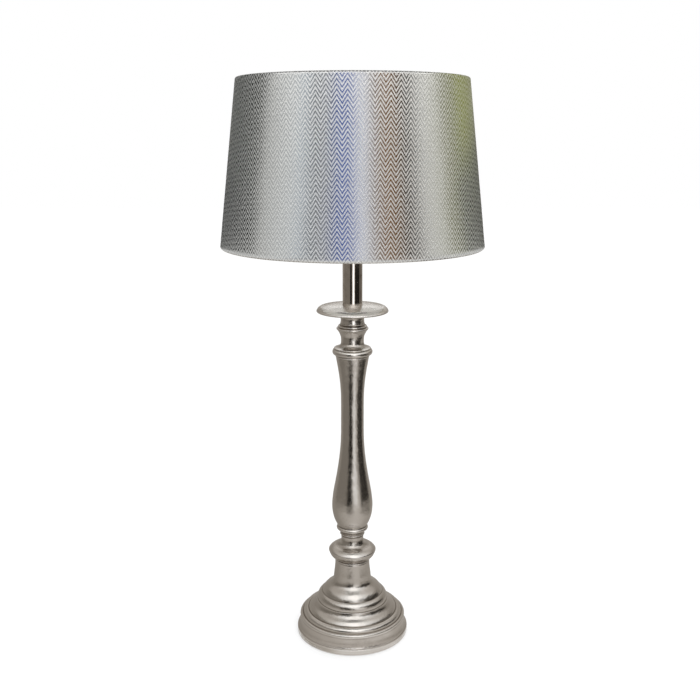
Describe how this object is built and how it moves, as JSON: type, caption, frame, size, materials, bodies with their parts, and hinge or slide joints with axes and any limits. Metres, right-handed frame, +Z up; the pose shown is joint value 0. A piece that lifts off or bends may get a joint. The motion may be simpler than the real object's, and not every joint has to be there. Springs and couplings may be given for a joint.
{
  "type": "table lamp with shade",
  "caption": "Tall candlestick table lamp with a turned metal stand, drip dish, plain candle tube, push-bar lampholder, bulb and tapered drum shade.",
  "frame": {"origin": "centre of the foot's underside, on the surface the lamp stands on", "axes": "+Z up along the rod that every piece is threaded on, +Y to the back, where the flex goes in, and -Y to the front"},
  "size_m": [0.3549, 0.3552, 0.7873],
  "materials": {
    "stand_metal": "sand cast, hand finished and plated in antiqued nickel, softly polished",
    "tube_metal": "drawn tube, plated to match the castings",
    "zinc_steel": "zinc plated",
    "ballast_iron": "rough casting, black paint",
    "felt": "pressed felt",
    "grommet_plastic": "grey moulding",
    "holder_plastic": "white moulding",
    "switch_plastic": "white moulding",
    "holder_ceramic": "white glaze",
    "brass": "plain",
    "bulb_metal": "pressed thread",
    "bulb_insulator_glass": "black glass",
    "opal_glass": "opal white",
    "foil_fabric": "silver foil fabric with a fine zigzag weave",
    "liner_plastic": "white styrene sheet",
    "shade_wire": "white epoxy coat"
  },
  "bodies": {
    "lamp": {"base_pad": "felt", "foot_casting": "stand_metal", "cord_grommet": "grommet_plastic", "ballast_weight": "ballast_iron", "rod_washer": "zinc_steel", "rod_nut": "zinc_steel", "tie_rod": "zinc_steel", "lower_knop": "stand_metal", "baluster": "stand_metal", "upper_knop": "stand_metal", "drip_dish": "stand_metal", "candle_tube": "tube_metal", "tube_cap": "tube_metal", "holder_cap": "holder_plastic", "holder_grub_screw": "zinc_steel", "holder_skirt": "holder_plastic", "holder_core": "holder_ceramic", "terminal_screws": "brass", "screw_shell": "brass", "centre_contact": "brass", "switch_block": "holder_plastic", "bar_bushings": "holder_plastic"},
    "shade": {"shade_cover": "foil_fabric", "shade_liner": "liner_plastic", "bottom_ring": "shade_wire", "top_ring": "shade_wire", "shade_arms": "shade_wire", "fitter_ring": "shade_wire"},
    "clamp_ring": {"shade_ring": "holder_plastic"},
    "bulb": {"bulb_contact": "brass", "bulb_insulator": "bulb_insulator_glass", "bulb_cap": "bulb_metal", "bulb_glass": "opal_glass"},
    "switch_bar": {"push_bar": "switch_plastic"}
  },
  "joints": [
    {"name": "shade_turn", "type": "hinge", "parent": "lamp", "child": "shade", "pos_m": [0, 0, 0.599], "axis": [0, 0, 1], "continuous": true},
    {"name": "clamp_ring_turn", "type": "hinge", "parent": "lamp", "child": "clamp_ring", "pos_m": [0, 0, 0.599], "axis": [0, 0, 1], "continuous": true},
    {"name": "bulb_turn", "type": "hinge", "parent": "lamp", "child": "bulb", "pos_m": [0, 0, 0.61], "axis": [0, 0, 1], "range_deg": [0, 1440]},
    {"name": "switch_push", "type": "slide", "parent": "lamp", "child": "switch_bar", "axis": [1, 0, 0], "range_m": [0, 0.006]}
  ]
}
